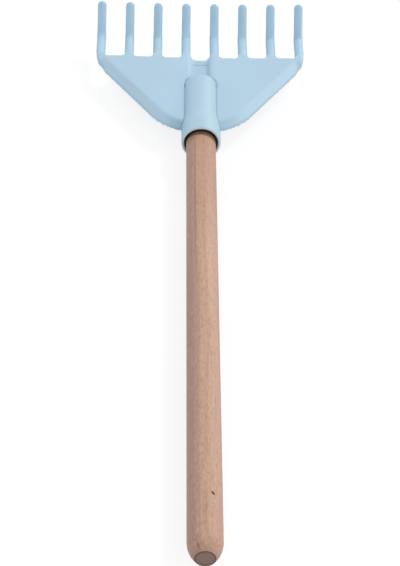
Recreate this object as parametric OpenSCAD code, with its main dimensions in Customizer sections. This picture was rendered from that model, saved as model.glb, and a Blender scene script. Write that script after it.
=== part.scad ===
// Toy sand rake: a moulded head with eight bent tines on a turned wooden handle.
// It lies on its back with the tines up. The handle runs along Y, the head is at +Y.

/* [Handle] */
// Diameter of the wooden handle
handle_d = 22; // [16:0.5:30]
// Whole length of the handle, with the part inside the socket
handle_len = 480.4; // [300:1:900]
// Diameter of the flat face at the free end
end_face_d = 12.8; // [6:0.2:15]
// Radius of the long arc that rounds the free end over
end_arc_r = 21; // [12:0.5:40]
// How much slimmer the handle is at its inner end
seat_taper = 0.8; // [0.2:0.1:2]
// Bevel round the inner end of the handle
seat_bevel = 1; // [0.5:0.1:2]

/* [Socket] */
// Length of handle inside the socket
seat_len = 69; // [55:1:71]
// Wall of the socket round the handle
socket_wall = 1.65; // [1.2:0.05:4]
// Gap all round between the handle and the flared mouth
mouth_gap = 1.6; // [0.5:0.1:3]
// Wall of the flared mouth
mouth_wall = 2.1; // [1.5:0.1:4]
// Length of the mouth at its full diameter
mouth_len = 14; // [5:0.5:25]
// Length over which the mouth narrows to the socket
flare_len = 15; // [6:0.5:25]
// Depth at which the inside starts to narrow
mouth_depth = 6; // [2:0.5:12]
// Depth of the flat under the mouth, on which the rake lies without rolling
mouth_flat = 0.6; // [0.4:0.1:0.8]
// Bevel of the lip at the mouth
lip_bevel = 0.5; // [0.2:0.05:0.6]
// Distance from the mouth to where the closed front end starts to round over
nose_start = 69.6; // [68:0.2:85]
// Radius of the edge round the closed front end
nose_edge = 3.5; // [2:0.5:6]
// How far the middle of the front end stands out past its edge
nose_dome = 0.8; // [0.4:0.1:2]

/* [Shield] */
// Distance from the mouth to the back of the shield
shield_back = 13.6; // [8:0.1:20]
// Distance from the mouth to the front edge at the middle
shield_front = 107.3; // [95:0.5:140]
// Height of the shield's top over the handle's axis
shield_h = 4.9; // [4:0.1:8]
// Thickness of the moulded sheet
sheet_t = 2.4; // [1.6:0.1:3.6]
// Radius of the round back
rear_r = 43.6; // [36:0.1:50]
// Radius of the two rounded front corners
corner_r = 48.4; // [44:0.1:58]
// How far the corner centres lie in front of the front edge
corner_lead = 11.5; // [4:0.5:15]
// Width of the border that bends down along the sides
border_w = 6.8; // [5:0.1:12]
// How far the border bends down
border_drop = 3.6; // [1.5:0.1:4]
// How far the ends of the front edge lead its middle
front_bow = 1.8; // [0.5:0.1:4]

/* [Channel] */
// Half the width of the channel's floor
channel_half = 5.2; // [3:0.2:6]
// Slope of the channel's sides, in degrees
channel_slope = 55; // [40:1:65]
// Radius over which the sides meet the shield's top
channel_round = 5; // [2:0.5:6]
// Depth of the channel below the shield's top
channel_deep = 3.9; // [2:0.1:4.2]
// Length of the rising lip at the front of the channel
channel_lip_len = 5.6; // [3:0.2:9]
// Rise of the channel's floor along the lip
channel_lip_rise = 1.4; // [0.5:0.1:1.8]
// Gap between the front end of the socket and the rim of the channel
channel_moat = 0.7; // [0.4:0.1:1.5]

/* [Tines] */
// Number of tines
tine_count = 8; // [4:2:12]
// Distance between two tines
tine_pitch = 22.4; // [20:0.2:26]
// Diameter of a tine
tine_d = 7.4; // [6:0.2:9]
// Diameter of a tine past its bend
tip_d = 7.1; // [5.5:0.1:7.2]
// How far the tines' upper sides lie below the shield's top
tine_below = 0.1; // [0.1:0.1:0.5]
// Straight length in front of the shield
tine_straight = 26.4; // [15:0.5:45]
// Radius of the bend at the centre line
bend_r = 8; // [6:0.5:14]
// Angle of the bend, in degrees
bend_angle = 45; // [20:1:80]
// Straight length after the bend, to the centre of the round tip
tine_tip = 23.1; // [10:0.5:35]
// Length over which a tine fades into the shield
tine_root = 9.5; // [6:0.5:14]
// Radius in the corners between a tine and the shield
root_r = 3.2; // [1:0.2:3.6]
// The same radius in the middle gap, in front of the channel
mid_root_r = 5.5; // [3.6:0.1:6.5]

/* [Screw] */
// Distance from the mouth to the fixing screw
screw_at = 45; // [35:1:52]
// Diameter of the screw's shank
screw_d = 3.5; // [2.5:0.1:4]
// Whole length of the screw
screw_len = 16; // [12:0.5:20]
// Diameter of the countersunk head
screw_head_d = 7; // [6:0.2:8]
// Height of the cylindrical rim of the head
screw_rim = 0.4; // [0.2:0.1:0.6]
// Length of the screw's point
screw_point = 3; // [2:0.2:4]
// Width of the cross slot in the head
slot_w = 1; // [0.6:0.1:1.2]
// Depth of the cross slot
slot_deep = 1.2; // [0.6:0.1:1.4]
// Diameter of the pad moulded round the screw
pad_d = 12; // [10:0.5:16]
// Height of the pad below the socket
pad_h = 1.2; // [0.8:0.1:1.4]

/* [Fits] */
// Gap all round between the handle and the socket's grip
grip_gap = 0.15; // [0.05:0.05:0.3]
// Gap in front of the handle's inner end
end_gap = 1; // [0.3:0.1:2]
// Gap all round the screw
screw_gap = 0.1; // [0.05:0.05:0.2]
// How deep the screw's head lies in the pad
screw_sink = 0.2; // [0.1:0.1:0.4]
// How far a cut runs past the surface it opens
overrun = 1; // [0.5:0.5:2]
// How far the outer tines stand out past the shield's sides
side_step = 0.2; // [0.1:0.1:0.5]

/* [Hidden] */

// Sides of a full circle: large round walls, tines, and the ones inside a hull
round_fn = 96;
tine_fn = 32;
hull_fn = 48;
// Steps along an arc of a profile
arc_steps = 10;

// Handle
handle_r = handle_d / 2;
end_face_r = end_face_d / 2;
end_arc_angle = acos((end_arc_r - handle_r + end_face_r) / end_arc_r);
end_len = end_arc_r * sin(end_arc_angle);
seat_end_r = handle_r - seat_taper / 2;
mouth_y = handle_len - seat_len;

// Socket
socket_r = handle_r + socket_wall + grip_gap;
mouth_r = handle_r + mouth_gap + mouth_wall;
bore_len = seat_len + end_gap;
nose_len = nose_edge + nose_dome;

// Tines
tine_r = tine_d / 2;
tip_r = tip_d / 2;
tip_overlap = (tine_r - tip_r) / 2;
tine_z = shield_h - tine_below - tine_r;
outer_x = tine_pitch * (tine_count - 1) / 2;
bend_y = bend_r * sin(bend_angle);
tine_reach = tine_straight + bend_y + tine_tip * cos(bend_angle) + tip_r;

// Shield, seen from above
front_y = mouth_y + shield_front;
shield_half = outer_x + tine_r - side_step;
rear_y = mouth_y + shield_back + rear_r;
blank_y = front_y + max(front_bow + root_r, mid_root_r);
corner_x = shield_half - corner_r;
corner_y = front_y + corner_lead;
floor_z = shield_h - channel_deep;
side_angle = atan2(corner_x, corner_y - rear_y)
    + asin((corner_r - rear_r) / norm([corner_x, corner_y - rear_y]));

// Screw
screw_y = mouth_y + screw_at;
pad_z = -socket_r - pad_h;
screw_z = pad_z + screw_sink;
screw_r = screw_d / 2;
screw_head_r = screw_head_d / 2;
screw_cone = screw_head_r - screw_r;

// Whole part: its length, and how far it reaches below the handle's axis
overall_len = front_y + front_bow + tine_reach;
rest_h = max(mouth_r - mouth_flat, -pad_z);

// Points on an arc about centre c from angle a0 to a1
function arc(c, r, a0, a1, steps) =
    [for (i = [0:steps]) let (a = a0 + (a1 - a0) * i / steps) c + r * [cos(a), sin(a)]];

// How far the front edge at x leads its middle
function bow_at(x) = front_bow * pow(x / outer_x, 2);

// Half width of the flat top at y, along the straight crease
function crease_x(y) = (rear_r - border_w + (y - rear_y) * sin(side_angle)) / cos(side_angle);

// Radius of the tapered seat at a distance in from the mouth
function seat_r(depth) = handle_r - (handle_r - seat_end_r) * depth / seat_len;

function tine_x(i) = (i - (tine_count - 1) / 2) * tine_pitch;

// Puts the part in its own frame: middle of the length, lowest point at zero
module in_frame() {
    translate([0, -overall_len / 2, rest_h]) children();
}

// Turns a profile of radius and distance into a solid along +Y
module turned(points, sides) {
    rotate([-90, 0, 0]) rotate_extrude($fn = sides) polygon(points);
}

// Wooden handle
module handle_blank() {
    turned(concat(
        [[0, 0]],
        arc([handle_r - end_arc_r, end_len], end_arc_r, -end_arc_angle, 0, arc_steps),
        [[handle_r, mouth_y],
         [seat_r(seat_len - seat_bevel), handle_len - seat_bevel],
         [seat_end_r - seat_bevel, handle_len],
         [0, handle_len]]
    ), round_fn);
}

module handle() {
    color([0.77, 0.63, 0.54]) in_frame() difference() {
        handle_blank();
        translate([0, screw_y, screw_z])
            cylinder(r = screw_r + screw_gap, h = screw_len + end_gap, $fn = tine_fn);
    }
}

// Outside of the socket, from the mouth to the rounded nose, with the flat under the mouth
module socket_outside() {
    translate([0, mouth_y, 0]) difference() {
        turned(concat(
            [[0, 0],
             [mouth_r - lip_bevel, 0],
             [mouth_r, lip_bevel],
             [mouth_r, mouth_len],
             [socket_r, mouth_len + flare_len]],
            arc([socket_r - nose_edge, nose_start], nose_edge, 0, 90, arc_steps),
            [[0, nose_start + nose_len]]
        ), round_fn);
        translate([-mouth_r, -overrun, -mouth_r - overrun])
            cube([2 * mouth_r, mouth_len + flare_len + overrun, mouth_flat + overrun]);
    }
}

// Inside of the socket: a wide mouth that narrows to the tapered grip
module socket_inside() {
    grip_start = mouth_len + flare_len;
    translate([0, mouth_y, 0]) turned([
        [0, -overrun],
        [handle_r + mouth_gap + overrun, -overrun],
        [handle_r + mouth_gap, lip_bevel],
        [handle_r + mouth_gap, mouth_depth],
        [seat_r(grip_start) + grip_gap, grip_start],
        [seat_end_r + grip_gap, bore_len],
        [0, bore_len]
    ], round_fn);
}

// Block under the top surface of the shield with walls of height deep,
// wider below by grow along the border
module shield_block(grow, deep) {
    drop = border_drop * (border_w + grow) / border_w;
    low_z = shield_h - drop;
    hull($fn = hull_fn) {
        translate([0, rear_y, low_z])
            cylinder(r1 = rear_r + grow, r2 = rear_r - border_w, h = drop, $fn = hull_fn);
        translate([0, rear_y, low_z - deep]) cylinder(r = rear_r + grow, h = deep, $fn = hull_fn);
        for (side = [-1, 1]) {
            translate([side * corner_x, corner_y, low_z - deep])
                cylinder(r = corner_r + grow, h = deep, $fn = hull_fn);
            translate([side * crease_x(blank_y), blank_y, low_z])
                cylinder(r = side_step, h = drop, $fn = hull_fn);
        }
    }
}

// Half of the channel's section, from its floor up one rounded side
function channel_side() =
    let (steep = 90 + channel_slope,
         foot_z = shield_h - channel_round + channel_round * sin(steep),
         top_x = channel_half + (foot_z - floor_z) / tan(channel_slope) - channel_round * cos(steep))
    concat(
        [[channel_half, floor_z]],
        arc([top_x, shield_h - channel_round], channel_round, steep, 90, arc_steps),
        [[top_x, shield_h + overrun]]
    );

// Room over the channel in front of the socket, with its lip and the rim round the socket's end
module channel_room() {
    start_y = mouth_y + nose_start;
    side = channel_side();
    wide = side[len(side) - 1].x;
    lip_y = front_y - channel_lip_len;
    far_y = front_y + corner_lead + corner_r;
    lip_slope = channel_lip_rise / channel_lip_len;
    rim_r = socket_r + channel_moat;
    intersection() {
        translate([0, far_y, 0]) rotate([90, 0, 0]) linear_extrude(far_y - start_y)
            polygon(concat(side, [for (i = [len(side) - 1:-1:0]) [-side[i].x, side[i].y]]));
        translate([-wide - overrun, 0, 0]) rotate([90, 0, 90]) linear_extrude(2 * (wide + overrun)) polygon([
            [start_y - overrun, floor_z],
            [lip_y, floor_z],
            [far_y + overrun, floor_z + (far_y + overrun - lip_y) * lip_slope],
            [far_y + overrun, shield_h + far_y],
            [start_y - overrun, shield_h + far_y]
        ]);
    }
    translate([0, start_y, floor_z])
        cylinder(r1 = rim_r - channel_deep / tan(channel_slope + 15),
                 r2 = rim_r + overrun / tan(channel_slope + 15), h = channel_deep + overrun, $fn = round_fn);
}

// Upper side of the shield as the top of a block
module shield_top(grow) {
    difference() {
        shield_block(grow, sheet_t + overrun);
        channel_room();
    }
}

// Outline of one gap between two tines, open to the front
module gap_outline(r) {
    half = tine_pitch / 2 - tine_r;
    polygon(concat(
        arc([-half + r, r], r, 180, 270, arc_steps),
        arc([half - r, r], r, 270, 360, arc_steps),
        [[half, corner_lead + corner_r + root_r], [-half, corner_lead + corner_r + root_r]]
    ));
}

// Bent sheet of even thickness, cut to the front edge and the gaps
module shield() {
    deep = 2 * (shield_h + border_drop + sheet_t);
    difference() {
        shield_top(0);
        translate([0, 0, -sheet_t]) shield_top(overrun);
        translate([-shield_half - overrun, blank_y, -deep])
            cube([2 * (shield_half + overrun), corner_lead + corner_r + overrun, 2 * deep]);
        for (i = [0:tine_count - 2]) {
            x = tine_x(i) + tine_pitch / 2;
            translate([x, front_y + bow_at(x), -deep]) linear_extrude(2 * deep)
                gap_outline(i == tine_count / 2 - 1 ? mid_root_r : root_r);
        }
    }
}

// Tine i, from its fading root under the shield to its round tip
module tine(i) {
    translate([tine_x(i), front_y + bow_at(tine_x(i)), tine_z]) {
        turned(concat(
            [for (p = arc([0, 0], 1, -90, 0, arc_steps)) [tine_r * p.x, tine_root * p.y]],
            [[tine_r, tine_straight], [0, tine_straight]]
        ), tine_fn);
        translate([0, tine_straight, bend_r]) rotate([0, 90, 0])
            rotate_extrude(angle = bend_angle, $fn = round_fn)
                translate([bend_r, 0]) circle(r = tine_r, $fn = tine_fn);
        translate([0, tine_straight, bend_r]) rotate([bend_angle, 0, 0]) translate([0, 0, -bend_r])
            turned(concat(
                [[0, -tip_overlap], [tip_r, -tip_overlap]],
                arc([0, tine_tip], tip_r, 0, 90, arc_steps)
            ), tine_fn);
    }
}

// All tines, cut to stay inside the shield's outline as far as its corners reach
module tines() {
    deep = tine_d + border_drop;
    difference() {
        for (i = [0:tine_count - 1]) tine(i);
        difference() {
            translate([-shield_half - overrun, rear_y, -deep])
                cube([2 * (shield_half + overrun), corner_y - rear_y, 2 * deep]);
            translate([0, 0, border_drop]) shield_block(0, deep);
        }
    }
}

// Pad that takes the head of the screw, on the underside of the socket
module screw_pad() {
    translate([0, screw_y, pad_z]) cylinder(r = pad_d / 2, h = pad_h + socket_r, $fn = round_fn);
}

// Hole and countersink for the screw
module screw_room() {
    room_r = screw_r + screw_gap;
    head_room_r = screw_head_r + screw_gap;
    translate([0, screw_y, pad_z]) rotate_extrude($fn = round_fn) polygon([
        [0, -overrun],
        [head_room_r, -overrun],
        [head_room_r, screw_sink + screw_rim],
        [room_r, screw_sink + screw_rim + screw_cone],
        [room_r, pad_h + socket_r],
        [0, pad_h + socket_r]
    ]);
}

module rake_head() {
    color([0.71, 0.82, 0.89]) in_frame() difference() {
        union() {
            shield();
            socket_outside();
            screw_pad();
            tines();
        }
        socket_inside();
        screw_room();
    }
}

module fixing_screw() {
    color([0.75, 0.75, 0.77]) in_frame() translate([0, screw_y, screw_z]) difference() {
        rotate_extrude($fn = tine_fn) polygon([
            [0, 0],
            [screw_head_r, 0],
            [screw_head_r, screw_rim],
            [screw_r, screw_rim + screw_cone],
            [screw_r, screw_len - screw_point],
            [0, screw_len]
        ]);
        for (turn = [0, 90]) rotate([0, 0, turn])
            translate([-screw_head_r / 2, -slot_w / 2, -overrun])
                cube([screw_head_r, slot_w, slot_deep + overrun]);
    }
}

rake_head();
handle();
fixing_screw();
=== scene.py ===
from math import acos, cos, pi, radians, sin

import bmesh
import bpy
from mathutils import Matrix, Vector


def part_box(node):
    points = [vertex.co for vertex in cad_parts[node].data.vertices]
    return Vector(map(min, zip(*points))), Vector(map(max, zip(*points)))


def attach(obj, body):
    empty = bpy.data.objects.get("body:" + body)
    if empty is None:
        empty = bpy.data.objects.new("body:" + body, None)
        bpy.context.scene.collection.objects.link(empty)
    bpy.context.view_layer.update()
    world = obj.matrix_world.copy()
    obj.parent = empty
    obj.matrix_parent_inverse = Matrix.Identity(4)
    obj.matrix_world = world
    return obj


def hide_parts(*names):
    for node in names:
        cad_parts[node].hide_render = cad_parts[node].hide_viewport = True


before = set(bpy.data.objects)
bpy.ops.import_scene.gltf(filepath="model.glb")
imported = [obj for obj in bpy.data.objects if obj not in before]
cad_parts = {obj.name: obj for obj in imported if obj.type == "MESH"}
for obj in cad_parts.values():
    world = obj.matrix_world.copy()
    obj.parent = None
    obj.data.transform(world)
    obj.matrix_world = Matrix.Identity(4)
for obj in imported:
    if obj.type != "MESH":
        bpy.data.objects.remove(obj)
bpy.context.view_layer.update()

MM = 0.001

# The handle's axis, its two ends and its radius
wood_lo, wood_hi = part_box("handle")
END_Y = wood_lo.y
SEAT_Y = wood_hi.y
HANDLE_R = (wood_hi.x - wood_lo.x) / 2
AXIS_Z = (wood_lo.z + wood_hi.z) / 2

# Places along the head, from the socket's mouth forward
SEAT_LEN = 69 * MM
MOUTH_Y = SEAT_Y - SEAT_LEN
FLARE_END_Y = MOUTH_Y + 29 * MM
SCREW_Y = MOUTH_Y + 45 * MM
REAR_Y = MOUTH_Y + 57.2 * MM
NOSE_Y = MOUTH_Y + 70.6 * MM
LIP_Y = MOUTH_Y + 101.7 * MM
FRONT_Y = MOUTH_Y + 107.3 * MM

# The socket's outside radius, that of its flared mouth, and the slope of the flare
SOCKET_R = 12.8 * MM
MOUTH_R = 14.7 * MM
FLARE_SLOPE = (MOUTH_R - SOCKET_R) / (15 * MM)

# The shield: the height of its top face, the slope of its border, and the crease
# where the border starts, on a radius round the rear and at an angle along the sides
SHEET_Z = AXIS_Z + 4.9 * MM
BORDER_SLOPE = 3.6 / 6.8
CREASE_R = 36.8 * MM
SIDE_ANGLE = radians(32.5)

# Lamps far away: strength, then the width of the source, azimuth and height in degrees
# Azimuth 0 lies beyond the tines, and 90 to the right of the rake
SUNS = {
    "key": (0.24, 10, 40, 38),
    "front": (0.31, 40, 180, 30),
    "right": (0.16, 40, 135, 30),
    "far_right": (0.28, 40, 45, 30),
    "back": (0.10, 40, 0, 30),
    "far_left": (0.23, 40, 315, 30),
    "left": (0.075, 40, 270, 30),
}
SKY_ON_OBJECT = 0.23
SKY_BEHIND = 1


# Camera

def place_camera():
    """Seen from the end of the handle, 40 degrees above the floor."""
    rise, swing, tilt = radians(40.099), radians(1.558), radians(-1.905)
    stand = (-29.29 * MM, END_Y - 765.73 * MM, AXIS_Z + 855.38 * MM)
    ahead = Vector((sin(swing) * cos(rise), cos(swing) * cos(rise), -sin(rise)))
    level = Vector((cos(swing), -sin(swing), 0))
    below = ahead.cross(level)
    right = cos(tilt) * level + sin(tilt) * below
    down = -sin(tilt) * level + cos(tilt) * below
    turn = Matrix((right, -down, -ahead)).transposed().to_4x4()
    data = bpy.data.cameras.new("camera")
    data.sensor_width = 36
    data.lens = 124.03
    data.clip_end = 50
    camera = bpy.data.objects.new("camera", data)
    camera.matrix_world = Matrix.Translation(stand) @ turn
    bpy.context.scene.collection.objects.link(camera)
    bpy.context.scene.camera = camera


# Finishes

def paint(code):
    """A colour as written, such as "b4d1e3", as the shader takes it."""
    parts = [int(code[i:i + 2], 16) / 255 for i in (0, 2, 4)]
    return [c / 12.92 if c <= 0.04045 else ((c + 0.055) / 1.055) ** 2.4 for c in parts] + [1]


class Field:
    """A value that varies over a surface; arithmetic on it adds Math nodes."""

    def __init__(self, finish, socket):
        self.finish = finish
        self.socket = socket

    def math(self, operation, *terms):
        return self.finish.node("ShaderNodeMath", {"operation": operation}, dict(enumerate(terms)))

    def __add__(self, other):
        return self.math("ADD", self, other)

    __radd__ = __add__

    def __mul__(self, other):
        return self.math("MULTIPLY", self, other)

    __rmul__ = __mul__

    def __sub__(self, other):
        return self.math("SUBTRACT", self, other)

    def __rsub__(self, other):
        return self.math("SUBTRACT", other, self)

    def root(self):
        return self.math("SQRT", self)

    def wave(self):
        return self.math("SINE", self)

    def size(self):
        """The value without its sign."""
        return self.math("ABSOLUTE", self)

    def at_least(self, other):
        return self.math("MAXIMUM", self, other)

    def at_most(self, other):
        return self.math("MINIMUM", self, other)

    def ramp(self, start, end):
        """Nought before start, one after end, smooth between."""
        return self.finish.node(
            "ShaderNodeMapRange", {"interpolation_type": "SMOOTHSTEP"},
            {"Value": self, "From Min": start, "From Max": end}, "Result")

    def fade(self, start, end):
        """One before start, nought after end, smooth between."""
        return 1 - self.ramp(start, end)


class Finish:
    """The nodes of one material or of the world, built one by one."""

    def __init__(self, owner):
        owner.use_nodes = True
        self.owner = owner
        self.tree = owner.node_tree
        self.tree.nodes.clear()

    def node(self, kind, settings=None, values=None, output=None):
        made = self.tree.nodes.new(kind)
        for name, setting in (settings or {}).items():
            setattr(made, name, setting)
        for name, value in (values or {}).items():
            if isinstance(name, int):
                socket = made.inputs[name]
            else:
                socket = next(s for s in made.inputs if s.name == name and s.enabled)
            if isinstance(value, Field):
                self.tree.links.new(value.socket, socket)
            else:
                socket.default_value = value
        if not made.outputs:
            return None
        found = [s for s in made.outputs if s.enabled and output in (None, s.name)]
        return Field(self, found[0])

    def place(self):
        """Where a point of the piece is, in metres."""
        return self.node("ShaderNodeTexCoord", output="Object")

    def axes(self, place):
        return [self.node("ShaderNodeSeparateXYZ", {}, {0: place}, axis) for axis in "XYZ"]

    def noise(self, place, scale, detail=2, roughness=0.5, distortion=0):
        return self.node(
            "ShaderNodeTexNoise", {},
            {"Vector": place, "Scale": scale, "Detail": detail, "Roughness": roughness,
             "Distortion": distortion}, "Fac")

    def streaks(self, place, across, along, **kinds):
        """Noise with its own fineness across the handle and along it, in waves to the metre."""
        drawn_out = self.node(
            "ShaderNodeMapping", {"vector_type": "POINT"},
            {"Vector": place, "Scale": (across, along, across)})
        return self.noise(drawn_out, 1, **kinds)

    def spot(self, place, centre, sizes, turn=0):
        """One at the centre of an oval spot, nought at its edge; it can be turned about Z."""
        local = self.node(
            "ShaderNodeMapping", {"vector_type": "TEXTURE"},
            {"Vector": place, "Location": centre, "Rotation": (0, 0, turn), "Scale": sizes})
        away = self.node("ShaderNodeVectorMath", {"operation": "LENGTH"}, {0: local}, "Value")
        return away.fade(0, 1)

    def hollows(self, start, end):
        """One in sharp inside corners, nought on flat and outward faces."""
        return self.node("ShaderNodeNewGeometry", output="Pointiness").fade(start, end)

    def blend(self, share, first, second, mode="MIX"):
        return self.node(
            "ShaderNodeMix", {"data_type": "RGBA", "blend_type": mode},
            {"Factor": share, "A": first, "B": second}, "Result")

    def coat(self, colour, share, code):
        """The colour with a share of another paint over it."""
        return self.blend(share, colour, paint(code))

    def grey(self, value):
        """A number as a neutral colour."""
        return self.node("ShaderNodeCombineColor", {}, {0: value, 1: value, 2: value})

    def bump(self, height, strength, depth):
        return self.node(
            "ShaderNodeBump", {}, {"Height": height, "Strength": strength, "Distance": depth})

    def surface(self, values):
        shader = self.node("ShaderNodeBsdfPrincipled", {}, values)
        self.node("ShaderNodeOutputMaterial", {}, {"Surface": shader})
        return self.owner

    def background_rays(self):
        """One for rays from the camera and for those that gloss and glass send out."""
        camera, gloss, through = [
            self.node("ShaderNodeLightPath", output=ray)
            for ray in ("Is Camera Ray", "Is Glossy Ray", "Is Transmission Ray")]
        return camera.at_least(gloss.at_least(through))


def new_finish(name):
    return Finish(bpy.data.materials.new(name))


def socket_painted_light(blue, colour, x, up, away):
    """Painted light on the socket's top: a touch lighter and bluer on its left flank and greener on its
    right.
    """
    on_top = up.ramp(5.2 * MM, 6.2 * MM) * away.fade(15.2 * MM, 15.8 * MM)
    colour = blue.coat(colour, on_top * x.fade(-11 * MM, -3 * MM) * 0.8, "b3d7ee")
    return blue.coat(colour, on_top * x.ramp(2 * MM, 9 * MM) * 0.7, "b5d4e0")


def shaded_beside_socket(blue, colour, x, y, z, away):
    """Painted shade on the border beside the socket, and a painted shade line where the flanks meet the
    sheet.

    The sheet is flat inside the crease of its border and slopes down beyond it.
    """
    back = y - REAR_Y
    beyond = (x * x + back * back).root() - CREASE_R
    slope = (beyond * BORDER_SLOPE).at_least(0) * back.fade(-20 * MM, -10 * MM)
    over_sheet = z - SHEET_Z + slope
    flare = ((FLARE_END_Y - y) * FLARE_SLOPE).at_least(0).at_most(MOUTH_R - SOCKET_R)
    off_flank = away - flare - SOCKET_R
    on_sheet = over_sheet.ramp(-1.2 * MM, -0.6 * MM)
    beside = off_flank.ramp(0.2 * MM, 0.6 * MM) * off_flank.fade(0, 16 * MM)
    shade = slope.ramp(0, 1.5 * MM) * on_sheet * beside
    # Painted shade on the border beside the socket, stronger on the left
    colour = blue.coat(colour, shade * x.fade(-2 * MM, 2 * MM) * 0.7, "8db2ca")
    colour = blue.coat(colour, shade * x.ramp(-2 * MM, 2 * MM) * 0.3, "8db2ca")
    # Painted shade line in the inside corner where the socket's flanks meet the sheet
    apart = over_sheet.at_least(off_flank)
    seam_shade = on_sheet * off_flank.ramp(-1.2 * MM, -0.6 * MM) * apart.fade(0.2 * MM, 1.1 * MM)
    seam_shade = seam_shade * (y - NOSE_Y).fade(-0.6 * MM, 2.4 * MM)
    return blue.coat(colour, seam_shade * 0.8, "6d8fa4")


def channel_painted_shade_and_light(blue, colour, x, y, up):
    """The channel's floor breaks upwards in a fine crease; painted shade darkens the floor and the
    crease, and painted light makes the lip beyond it paler.
    """
    to_lip = y - LIP_Y
    in_channel = x.size().fade(6 * MM, 7 * MM) * up.ramp(0, 0.5 * MM) * up.fade(2.6 * MM, 3.2 * MM)
    # Painted light on the lip, then painted shade on the floor and in the crease
    colour = blue.coat(colour, in_channel * to_lip.ramp(0.4 * MM, 1.2 * MM) * 0.5, "bccfd9")
    colour = blue.coat(colour, in_channel * to_lip.fade(-0.8 * MM, 0) * 0.1, "7797ab")
    return blue.coat(colour, in_channel * to_lip.size().fade(0.2 * MM, 0.9 * MM) * 0.5, "7595a9")


def moulded_plastic():
    """Pale blue satin plastic with the slight clouding of a large moulding."""
    blue = new_finish("moulded_blue_plastic")
    at = blue.place()
    x, y, z = blue.axes(at)
    up = z - AXIS_Z
    away = (x * x + up * up).root()
    cloud = blue.noise(at, 22, detail=3)
    flow = blue.streaks(at, 60, 24, detail=4, distortion=0.6)
    speck = blue.noise(at, 900)
    colour = blue.blend(cloud.ramp(0.3, 0.7), paint("adcbdf"), paint("b1cfe4"))
    colour = blue.coat(colour, flow.ramp(0.45, 0.75) * 0.35, "acd0de")
    # Painted light on the socket's top, different on each flank
    colour = socket_painted_light(blue, colour, x, up, away)
    colour = shaded_beside_socket(blue, colour, x, y, z, away)
    colour = channel_painted_shade_and_light(blue, colour, x, y, up)
    # The tines are a touch bluer than the shield
    colour = blue.coat(colour, (y - FRONT_Y).ramp(2 * MM, 6 * MM) * 0.25, "aad6f0")
    # Painted shade darkens the inside corners, and painted light makes the socket's rim pale
    colour = blue.coat(colour, blue.hollows(0.41, 0.485) * 0.85, "7797ab")
    colour = blue.coat(colour, (y - MOUTH_Y).fade(0.3 * MM, 1 * MM) * 0.7, "ccdae0")
    colour = blue.blend(1, colour, blue.grey(0.985 + 0.03 * speck), "MULTIPLY")
    grain = blue.noise(at, 2600, roughness=0.6)
    swell = blue.noise(at, 90, detail=1)
    return blue.surface({
        "Base Color": colour,
        "Roughness": 0.4 + 0.1 * cloud + 0.06 * speck,
        "IOR": 1.49,
        "Specular IOR Level": 0.35,
        "Normal": blue.bump(grain * 0.02 + swell * 0.6, 0.25, 0.4 * MM),
    })


def growth_rings(x, z, wander):
    """Late wood, in rings round a pith well outside the stick."""
    pith_x, pith_z = -31 * MM, -24 * MM
    spacing = 3.4 * MM
    side = x - pith_x
    drop = z - pith_z
    ring = (side * side + drop * drop).root() + wander * (6 * MM)
    return (ring * (2 * pi / spacing)).wave().ramp(0.2, 1)


def wood_bands_and_side_shade(wood, at, x, wander):
    """Mauve and darker on one side of the stick, partly the wood's tone and partly painted shade; tan
    in the middle, pink beyond.
    """
    drift = x + wander * (8 * MM)
    tone = wood.streaks(at, 110, 9, detail=3)
    colour = wood.blend(tone.ramp(0.3, 0.7), paint("c39f85"), paint("cfac92"))
    # Partly painted shade: the left side darker and mauve
    colour = wood.coat(colour, drift.fade(-6.5 * MM, -1.5 * MM), "b8938a")
    return wood.coat(colour, drift.ramp(3 * MM, 8 * MM) * 0.7, "cfa799")


def grained_wood(wood, colour, at, late, fibre, streak):
    """Rings, streaks, fibres, flecks and mottling that run with the stick."""
    fleck = wood.streaks(at, 900, 210, detail=1)
    mottle = wood.streaks(at, 850, 240, detail=3, roughness=0.65, distortion=0.8)
    colour = wood.coat(colour, late * 0.25, "ab8570")
    colour = wood.coat(colour, streak.ramp(0.5, 0.8) * 0.4, "a47c6e")
    colour = wood.coat(colour, fibre.ramp(0.35, 0.75) * 0.2, "9a7863")
    colour = wood.coat(colour, fleck.ramp(0.6, 0.75) * 0.4, "8e6a55")
    colour = wood.coat(colour, mottle.ramp(0.5, 0.75) * 0.35, "8d6a58")
    return wood.coat(colour, mottle.fade(0.28, 0.48) * 0.25, "e6c6ae")


def marked_wood(wood, colour, at):
    """A long reddish streak, a pin knot at the shoulder and a dark fleck further up."""
    streak = wood.spot(at, (-5 * MM, END_Y + 340 * MM, AXIS_Z + 9.8 * MM), (1.2 * MM, 120 * MM, 9 * MM))
    knot = wood.spot(
        at, (-4.2 * MM, END_Y + 3.8 * MM, AXIS_Z + 7.8 * MM), (0.8 * MM, 3 * MM, 5 * MM), 0.26)
    fleck = wood.spot(
        at, (4.8 * MM, END_Y + 43.6 * MM, AXIS_Z + 9.9 * MM), (2.4 * MM, 1.5 * MM, 2.4 * MM), -pi / 4)
    colour = wood.coat(colour, streak.ramp(0.1, 0.6) * 0.45, "96705f")
    colour = wood.coat(colour, knot * 0.8, "6a4a40")
    return wood.coat(colour, fleck.ramp(0.1, 0.5), "3c1c0e")


def end_grain(wood, colour, at, late, x, up, from_end):
    """Pores and ring lines across the flat end, darker round its edge, with painted shade towards the
    floor.
    """
    away = (x * x + up * up).root()
    pores = wood.streaks(at, 1500, 300)
    grain = wood.blend(late * 0.4 + pores.ramp(0.4, 0.7) * 0.3, paint("7f6a62"), paint("6d564f"))
    grain = wood.coat(grain, away.ramp(4.8 * MM, 6.2 * MM), "5e4a42")
    # Painted shade on the end face towards the floor
    grain = wood.coat(grain, up.fade(-5.8 * MM, -2.5 * MM) * 0.6, "5a4740")
    colour = wood.coat(colour, from_end.fade(0.4 * MM, 6 * MM) * 0.25, "7f675c")
    return wood.blend(from_end.fade(0.1 * MM, 0.4 * MM) * 0.95, colour, grain)


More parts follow.
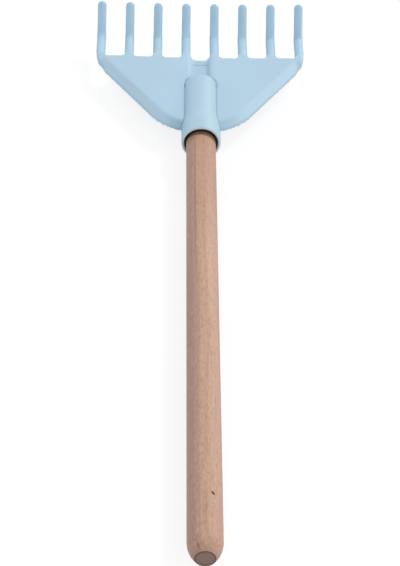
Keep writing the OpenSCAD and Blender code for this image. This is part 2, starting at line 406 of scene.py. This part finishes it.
def wood_dirt_and_painted_shade(wood, colour, at, x, from_end, to_mouth):
    """The stick is a little browner towards both ends, and most where it enters the socket; near the
    head this is partly dirt and partly painted shade, and a painted shade spot darkens its left side by
    the mouth.
    """
    off_left = x.ramp(-5 * MM, -2 * MM)
    # Near the head and at the mouth the browning is partly dirt and partly painted shade
    near_head = to_mouth.fade(60 * MM, 130 * MM) * 0.25
    near_end = from_end.ramp(1 * MM, 6 * MM) * from_end.fade(30 * MM, 80 * MM) * 0.15
    at_mouth = to_mouth.fade(6 * MM, 30 * MM) * 0.25 + to_mouth.fade(3 * MM, 12 * MM) * 0.35
    # Painted shade spot on the left side before the mouth
    painted_shade_spot = wood.spot(
        at, (-7 * MM, MOUTH_Y - 5 * MM, AXIS_Z + 8 * MM), (6.5 * MM, 6.5 * MM, 8 * MM))
    colour = wood.coat(colour, (near_head + near_end) * off_left, "a77c68")
    colour = wood.coat(colour, at_mouth, "ae8a64")
    return wood.coat(colour, painted_shade_spot * 0.5, "7d6350")


def shaded_mouth(wood, colour, x, up, to_mouth):
    """Painted shadow of the socket's rim in a slanting band before the mouth, and painted shade that
    makes the wood dark inside it.
    """
    lean_right, lean_up, less_left = 0.2176, 0.2765, 0.14
    slant = to_mouth - lean_right * x - lean_up * up + less_left * x.at_most(0)
    # Painted shadow cast by the socket's rim
    colour = wood.coat(colour, slant.fade(1.1 * MM, 1.8 * MM) * 0.9, "6c4f36")
    # Painted shade on the wood inside the mouth
    return wood.coat(colour, to_mouth.fade(-0.4 * MM, 1 * MM), "332a20")


def beech():
    """Turned beech: mottled fibres, faint growth rings, a pin knot and a grey-brown end grain."""
    wood = new_finish("turned_beech")
    at = wood.place()
    x, y, z = wood.axes(at)
    up = z - AXIS_Z
    from_end = y - END_Y
    to_mouth = MOUTH_Y - y
    wander = wood.streaks(at, 40, 5) - 0.5
    late = growth_rings(x, z, wander)
    fibre = wood.streaks(at, 1700, 60, roughness=0.6)
    streak = wood.streaks(at, 330, 14, detail=3, roughness=0.6)
    colour = wood_bands_and_side_shade(wood, at, x, wander)
    colour = grained_wood(wood, colour, at, late, fibre, streak)
    colour = marked_wood(wood, colour, at)
    colour = end_grain(wood, colour, at, late, x, up, from_end)
    colour = wood_dirt_and_painted_shade(wood, colour, at, x, from_end, to_mouth)
    colour = shaded_mouth(wood, colour, x, up, to_mouth)
    return wood.surface({
        "Base Color": colour,
        "Roughness": 0.55 + 0.12 * fibre,
        "Specular IOR Level": 0.3,
        "Normal": wood.bump(fibre * 0.5 + streak * 0.5, 0.3, 0.12 * MM),
    })


def screw_steel():
    """Zinc-plated steel, faintly yellow, with turning marks."""
    steel = new_finish("plated_screw_steel")
    at = steel.place()
    x, y, _ = steel.axes(at)
    along = y - SCREW_Y
    away = (x * x + along * along).root()
    turning_marks = steel.noise(steel.grey(away), 9000, detail=1)
    cloud = steel.noise(at, 900, detail=3)
    colour = steel.blend(cloud.ramp(0.3, 0.7), paint("c9c6bd"), paint("b7b8bb"))
    return steel.surface({
        "Base Color": colour,
        "Metallic": 1,
        "Roughness": 0.28 + 0.14 * cloud,
        "Normal": steel.bump(turning_marks, 0.2, 0.05 * MM),
    })


# Pieces

def new_object(name, bm):
    mesh = bpy.data.meshes.new(name)
    bm.to_mesh(mesh)
    bm.free()
    made = bpy.data.objects.new(name, mesh)
    bpy.context.scene.collection.objects.link(made)
    return made


def new_piece(name, bm, finish):
    piece = new_object(name, bm)
    piece.data.materials.append(finish)
    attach(piece, "root")
    return piece


def made_solid(piece):
    """The piece's modifiers become its mesh."""
    finish = piece.data.materials[0]
    seen = piece.evaluated_get(bpy.context.evaluated_depsgraph_get())
    piece.data = bpy.data.meshes.new_from_object(seen)
    piece.modifiers.clear()
    piece.data.materials.clear()
    piece.data.materials.append(finish)


def smooth(piece, angle=180):
    """Soft shading, broken at edges sharper than the angle in degrees."""
    for face in piece.data.polygons:
        face.use_smooth = True
    piece.data.set_sharp_from_angle(angle=radians(angle))


def cut(piece, tool):
    """Takes the tool's shape out of the piece."""
    cutter = new_object("tool", tool)
    taking = piece.modifiers.new("cut", "BOOLEAN")
    taking.operation = "DIFFERENCE"
    taking.solver = "EXACT"
    taking.object = cutter
    made_solid(piece)
    bpy.data.objects.remove(cutter)


class Outline:
    """Half the outline of a turned piece, drawn from its axis outwards and back, then turned."""

    def __init__(self, centre, axis):
        self.bm = bmesh.new()
        self.centre = Vector(centre)
        self.axis = Vector(axis)
        self.out = self.axis.orthogonal().normalized()
        self.tip = self.bm.verts.new(self.centre)

    def at(self, out, along):
        return self.centre + self.out * out + self.axis * along

    def line(self, out, along):
        self.tip = bmesh.ops.extrude_vert_indiv(self.bm, verts=[self.tip])["verts"][0]
        self.tip.co = self.at(out, along)

    def arc(self, out, along, angle, steps):
        """Round the given point, by an angle that turns from out towards the axis."""
        last = bmesh.ops.spin(
            self.bm, geom=[self.tip], cent=self.at(out, along), axis=self.out.cross(self.axis),
            angle=angle, steps=steps)["geom_last"]
        self.tip = next(v for v in last if isinstance(v, bmesh.types.BMVert))

    def turned(self, steps):
        bmesh.ops.spin(
            self.bm, geom=self.bm.verts[:] + self.bm.edges[:], cent=self.centre, axis=self.axis,
            angle=2 * pi, steps=steps, use_merge=True)
        bmesh.ops.remove_doubles(self.bm, verts=self.bm.verts, dist=1e-7)
        bmesh.ops.recalc_face_normals(self.bm, faces=self.bm.faces)
        return self.bm


def make_handle(finish):
    """The stick: flat end, rounded shoulder, straight length and the seat inside the socket."""
    face_r = 6.4 * MM
    shoulder = 21 * MM
    seat_r = 10.6 * MM
    bevel = 1 * MM
    hole_r = 1.85 * MM
    hole_len = 17 * MM
    hole_middle_z = 9 * MM
    angle = acos((shoulder - HANDLE_R + face_r) / shoulder)
    length = SEAT_Y - END_Y
    straight = length - SEAT_LEN
    stick = Outline((0, END_Y, AXIS_Z), (0, 1, 0))
    stick.line(face_r, 0)
    stick.arc(HANDLE_R - shoulder, shoulder * sin(angle), angle, steps=14)
    stick.line(HANDLE_R, straight)
    # Rings on both sides of the screw's hole keep the tapered faces short there
    for depth in (41 * MM, 49 * MM):
        stick.line(HANDLE_R - (HANDLE_R - seat_r) * depth / SEAT_LEN, straight + depth)
    stick.line(seat_r, length - bevel)
    stick.line(seat_r - bevel, length)
    stick.line(0, length)
    handle = new_piece("handle_stick", stick.turned(steps=128), finish)
    drill = bmesh.new()
    bmesh.ops.create_cone(
        drill, cap_ends=True, segments=32, radius1=hole_r, radius2=hole_r, depth=hole_len,
        matrix=Matrix.Translation((0, SCREW_Y, hole_middle_z)))
    cut(handle, drill)
    smooth(handle, angle=25)
    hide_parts("handle")


def ease(bm, verts, rounds):
    """Moves points towards their neighbours' middle, which rounds edges."""
    for _ in range(rounds):
        bmesh.ops.smooth_vert(
            bm, verts=verts, factor=0.5, use_axis_x=True, use_axis_y=True, use_axis_z=True)


def beyond_crease(place):
    """How far a point of the shield lies outside the crease of its border."""
    x = abs(place.x)
    y = place.y - REAR_Y
    if x * sin(SIDE_ANGLE) + y * cos(SIDE_ANGLE) > 0:
        return x * cos(SIDE_ANGLE) - y * sin(SIDE_ANGLE) - CREASE_R
    return Vector((x, y)).length - CREASE_R


def in_corner(place):
    """True in the corners that stay sharp, beside the socket and at the channel's crease."""
    along = place.y - MOUTH_Y
    side = abs(place.x)
    by_socket = 14 * MM < along < 71 * MM and 10.5 * MM < side < 15 * MM
    at_flank = by_socket and abs(place.z - SHEET_Z) < 1.6 * MM
    at_lip = side < 7 * MM and abs(place.y - LIP_Y) < 2 * MM and place.z < SHEET_Z
    return at_flank or at_lip


def in_bore(place):
    """True on the socket's inner wall, which keeps its edges."""
    away = Vector((place.x, place.z - AXIS_Z)).length
    return MOUTH_Y + 1 * MM < place.y < SEAT_Y + 1.5 * MM and away < 12 * MM


def nose_cap():
    """A disc with a small round edge, which fills the nose's edge out."""
    radius = 12.7 * MM
    edge = 1.6 * MM
    wall = 1.2 * MM
    height = 3.2 * MM
    cap = Outline((0, NOSE_Y, AXIS_Z), (0, 1, 0))
    cap.line(radius, 0)
    cap.line(radius, wall)
    cap.arc(radius - edge, wall, pi / 2, steps=6)
    cap.line(0, height)
    return cap.turned(steps=96)


def soften(bm):
    """Rounds the edges of the moulding, the border's crease most of all."""
    clear_x = 16.5 * MM
    clear_y = FRONT_Y + 2 * MM
    on_sheet = [v for v in bm.verts if abs(v.co.x) > clear_x and v.co.y < clear_y]
    for band in (4.2 * MM, 3.4 * MM, 2.6 * MM):
        ease(bm, [v for v in on_sheet if abs(beyond_crease(v.co)) < band], rounds=5)
    ease(bm, [v for v in bm.verts if not in_bore(v.co) and not in_corner(v.co)], rounds=2)


def push_out(bm):
    """Easing draws the border's rim and the mouth in, so they go out again."""
    clear_x = 16 * MM
    clear_y = FRONT_Y - 14 * MM
    rim_start = 4.6 * MM
    rim_rise = 0.8 * MM
    rim_push = 0.8 * MM
    mouth_end = MOUTH_Y + 0.8 * MM
    mouth_push = 0.6 * MM
    on_sheet = [v for v in bm.verts if abs(v.co.x) > clear_x and v.co.y < clear_y]
    rim = [v for v in on_sheet if beyond_crease(v.co) > rim_start]
    ease(bm, rim, rounds=4)
    bm.normal_update()
    for v in rim:
        share = max(0, min(1, (beyond_crease(v.co) - rim_start) / rim_rise))
        v.co += Vector((v.normal.x, v.normal.y, 0)) * rim_push * share
    for v in bm.verts:
        if v.co.y < mouth_end:
            v.co.y -= mouth_push


def make_head(finish):
    """One moulding, from the solid: every edge gets a small radius."""
    bm = bmesh.new()
    bm.from_mesh(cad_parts["rake_head"].data)
    bmesh.ops.remove_doubles(bm, verts=bm.verts, dist=1e-6)
    head = new_piece("head_moulding", bm, finish)
    bm = nose_cap()
    bm.from_mesh(head.data)
    bm.to_mesh(head.data)
    bm.free()
    skin = head.modifiers.new("skin", "REMESH")
    skin.mode = "VOXEL"
    skin.voxel_size = 0.73 * MM
    made_solid(head)
    bm = bmesh.new()
    bm.from_mesh(head.data)
    soften(bm)
    push_out(bm)
    bm.to_mesh(head.data)
    bm.free()
    smooth(head)
    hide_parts("rake_head")


def make_screw(finish):
    """Countersunk screw with a cross recess."""
    # Out from the axis and up from the head's face, in millimetres
    outline = (
        (3.3, 0), (3.5, 0.15), (3.5, 0.4), (1.75, 2.15), (1.75, 5), (1.3, 5.4), (1.3, 13), (0, 16))
    recess = (3.8 * MM, 0.9 * MM, 2.4 * MM, 1)
    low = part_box("fixing_screw")[0].z
    screw = Outline((0, SCREW_Y, low), (0, 0, 1))
    for out, up in outline:
        screw.line(out * MM, up * MM)
    piece = new_piece("screw_body", screw.turned(steps=48), finish)
    for turn in (0, 90):
        tool = bmesh.new()
        bmesh.ops.create_cube(
            tool, size=1, matrix=Matrix.Translation((0, SCREW_Y, low))
            @ Matrix.Rotation(radians(turn), 4, "Z") @ Matrix.Diagonal(recess))
        cut(piece, tool)
    smooth(piece, angle=30)
    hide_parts("fixing_screw")


# Floor and light

def make_floor():
    """Plain white floor that keeps a pale shadow."""
    half_width = 6
    bm = bmesh.new()
    bmesh.ops.create_grid(bm, x_segments=1, y_segments=1, size=half_width)
    floor = new_object("floor", bm)
    white = new_finish("floor_white")
    matt = white.node("ShaderNodeBsdfDiffuse", {}, {"Color": (0.8, 0.8, 0.8, 1)})
    pale = white.node("ShaderNodeBsdfDiffuse", {}, {"Color": (0.25, 0.25, 0.25, 1)})
    glow = white.node("ShaderNodeEmission", {}, {"Color": (1, 1, 1, 1), "Strength": 0.8})
    shown = white.node("ShaderNodeAddShader", {}, {0: pale, 1: glow})
    mixed = white.node("ShaderNodeMixShader", {}, {0: white.background_rays(), 1: matt, 2: shown})
    white.node("ShaderNodeOutputMaterial", {}, {"Surface": mixed})
    floor.data.materials.append(white.owner)


def set_sun(name, strength, width, azimuth, height):
    """A lamp so far away that its rays are parallel."""
    data = bpy.data.lights.new(name, "SUN")
    data.energy = strength * pi
    data.angle = radians(width)
    azimuth, height = radians(azimuth), radians(height)
    towards = Vector((sin(azimuth) * cos(height), cos(azimuth) * cos(height), sin(height)))
    lamp = bpy.data.objects.new(name, data)
    lamp.matrix_world = towards.to_track_quat("Z", "Y").to_matrix().to_4x4()
    bpy.context.scene.collection.objects.link(lamp)


def set_sky():
    """A dim sky on the object, and a white one behind it."""
    studio = Finish(bpy.data.worlds.new("studio"))
    dim, white = [
        studio.node("ShaderNodeBackground", {}, {"Color": (1, 1, 1, 1), "Strength": strength})
        for strength in (SKY_ON_OBJECT, SKY_BEHIND)]
    mixed = studio.node("ShaderNodeMixShader", {}, {0: studio.background_rays(), 1: dim, 2: white})
    studio.node("ShaderNodeOutputWorld", {}, {"Surface": mixed})
    bpy.context.scene.world = studio.owner


place_camera()
make_head(moulded_plastic())
make_handle(beech())
make_screw(screw_steel())
make_floor()
set_sky()
for name, facts in SUNS.items():
    set_sun(name, *facts)
bpy.context.scene.view_settings.view_transform = "Standard"
